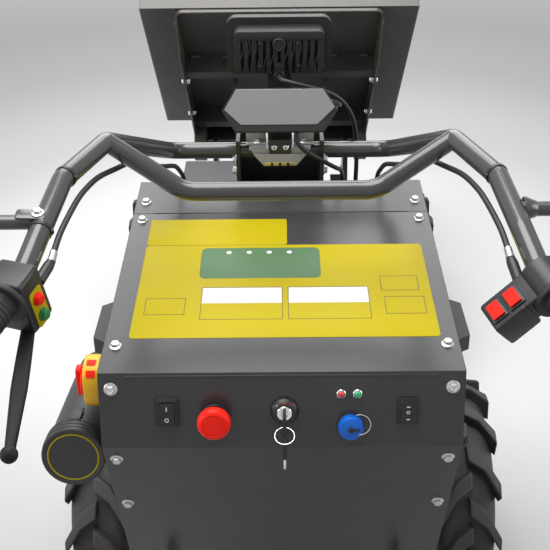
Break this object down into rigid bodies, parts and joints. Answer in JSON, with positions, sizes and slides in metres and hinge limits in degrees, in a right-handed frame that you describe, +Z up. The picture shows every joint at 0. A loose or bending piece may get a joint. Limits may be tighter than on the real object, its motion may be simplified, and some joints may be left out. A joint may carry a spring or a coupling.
{
  "type": "pedestrian wheeled mini dumper",
  "caption": "Walk-behind battery dumper: bent sheet console with controls, tubular handlebar, lugged wheels and a forward tipping tub raised by one cylinder.",
  "frame": {"origin": "on the floor under the middle of the machine's box", "axes": "+X to the operator's right, +Y forward, +Z up"},
  "size_m": [0.7392, 2.2092, 1.1539],
  "materials": {
    "body_paint": "satin gloss anthracite powder coat",
    "black_paint": "satin black paint",
    "rim_paint": "satin grey paint",
    "tyre_rubber": "dull moulded rubber",
    "box_plastic": "grained grey plastic",
    "zinc_steel": "bright zinc plate",
    "switch_black": "fine textured black plastic",
    "signal_red": "gloss red plastic",
    "signal_green": "gloss green plastic",
    "bright_steel": "bright plated",
    "socket_blue": "gloss blue plastic",
    "isolator_yellow": "yellow plastic",
    "tube_plastic": "black moulded plastic",
    "grip_rubber": "ribbed black rubber",
    "lever_black": "black coated lever",
    "display_glass": "grey gloss display window",
    "lamp_casting": "black coated casting",
    "lamp_glass": "clear lens",
    "lead_rubber": "black rubber sheath",
    "rod_chrome": "hard chrome"
  },
  "bodies": {
    "chassis": {"chassis_rails": "black_paint", "chassis_cross_members": "black_paint", "deck_plate": "body_paint", "battery_box": "box_plastic", "hydraulic_unit": "black_paint", "rear_axle": "black_paint", "front_axle": "black_paint", "axle_pedestals": "black_paint", "drive_motors": "black_paint", "console_cover": "body_paint", "console_front_plate": "body_paint", "console_sides": "body_paint", "emergency_stop_collar": "switch_black", "emergency_stop_head": "signal_red", "panel_rockers": "switch_black", "key_switch": "switch_black", "ignition_key": "bright_steel", "charge_cap": "socket_blue", "indicator_lamps": "bright_steel", "isolator_body": "isolator_yellow", "isolator_knob": "signal_red", "document_tube": "tube_plastic", "handlebar_tube": "body_paint", "handlebar_cross_tube": "body_paint", "hand_guards": "body_paint", "handlebar_post": "black_paint", "grips": "grip_rubber", "control_pods": "switch_black", "pod_button_red": "signal_red", "pod_button_green": "signal_green", "pod_rockers": "signal_red", "brake_lever": "lever_black", "display_housing": "switch_black", "display_screen": "display_glass", "display_saddle": "zinc_steel", "display_bracket": "black_paint", "floodlight_housing": "lamp_casting", "floodlight_lens": "lamp_glass", "floodlight_bracket": "zinc_steel", "floodlight_lead": "lead_rubber", "display_lead": "lead_rubber", "handlebar_leads": "lead_rubber"},
    "tub": {"tub_rear_wall": "body_paint", "tub_floor": "body_paint", "tub_chute": "body_paint", "tub_sides": "body_paint", "subframe_rails": "body_paint", "subframe_cross_members": "body_paint", "cylinder_clevis": "body_paint"},
    "cylinder_barrel": {"cylinder_barrel": "black_paint"},
    "cylinder_rod": {"cylinder_rod": "rod_chrome"},
    "wheel_front_left": {"tyre_front_left": "tyre_rubber", "rim_front_left": "rim_paint"},
    "wheel_front_right": {"tyre_front_right": "tyre_rubber", "rim_front_right": "rim_paint"},
    "wheel_rear_left": {"tyre_rear_left": "tyre_rubber", "rim_rear_left": "rim_paint"},
    "wheel_rear_right": {"tyre_rear_right": "tyre_rubber", "rim_rear_right": "rim_paint"}
  },
  "joints": [
    {"name": "wheel_front_left_spin", "type": "hinge", "parent": "chassis", "child": "wheel_front_left", "pos_m": [-0.312, 0.4049, 0.207], "axis": [-1, 0, 0], "continuous": true},
    {"name": "wheel_front_right_spin", "type": "hinge", "parent": "chassis", "child": "wheel_front_right", "pos_m": [0.312, 0.4049, 0.207], "axis": [-1, 0, 0], "continuous": true},
    {"name": "wheel_rear_left_spin", "type": "hinge", "parent": "chassis", "child": "wheel_rear_left", "pos_m": [-0.312, -0.3951, 0.207], "axis": [-1, 0, 0], "continuous": true},
    {"name": "wheel_rear_right_spin", "type": "hinge", "parent": "chassis", "child": "wheel_rear_right", "pos_m": [0.312, -0.3951, 0.207], "axis": [-1, 0, 0], "continuous": true},
    {"name": "tub_tilt", "type": "hinge", "parent": "chassis", "child": "tub", "pos_m": [0, 0.5799, 0.482], "axis": [-1, 0, 0], "range_deg": [-46.6, 8]},
    {"name": "barrel_swing", "type": "hinge", "parent": "chassis", "child": "cylinder_barrel", "pos_m": [0, 0.0599, 0.262], "axis": [1, 0, 0], "range_deg": [-8, 3]},
    {"name": "rod_slide", "type": "slide", "parent": "cylinder_barrel", "child": "cylinder_rod", "axis": [0, 0.6772, 0.7358], "range_m": [-0.19, 0.04]}
  ],
  "couplings": [
    {"joint": "barrel_swing", "follows": "tub_tilt", "ratio": 0.125},
    {"joint": "rod_slide", "follows": "tub_tilt", "m_per_rad": 0.222}
  ]
}
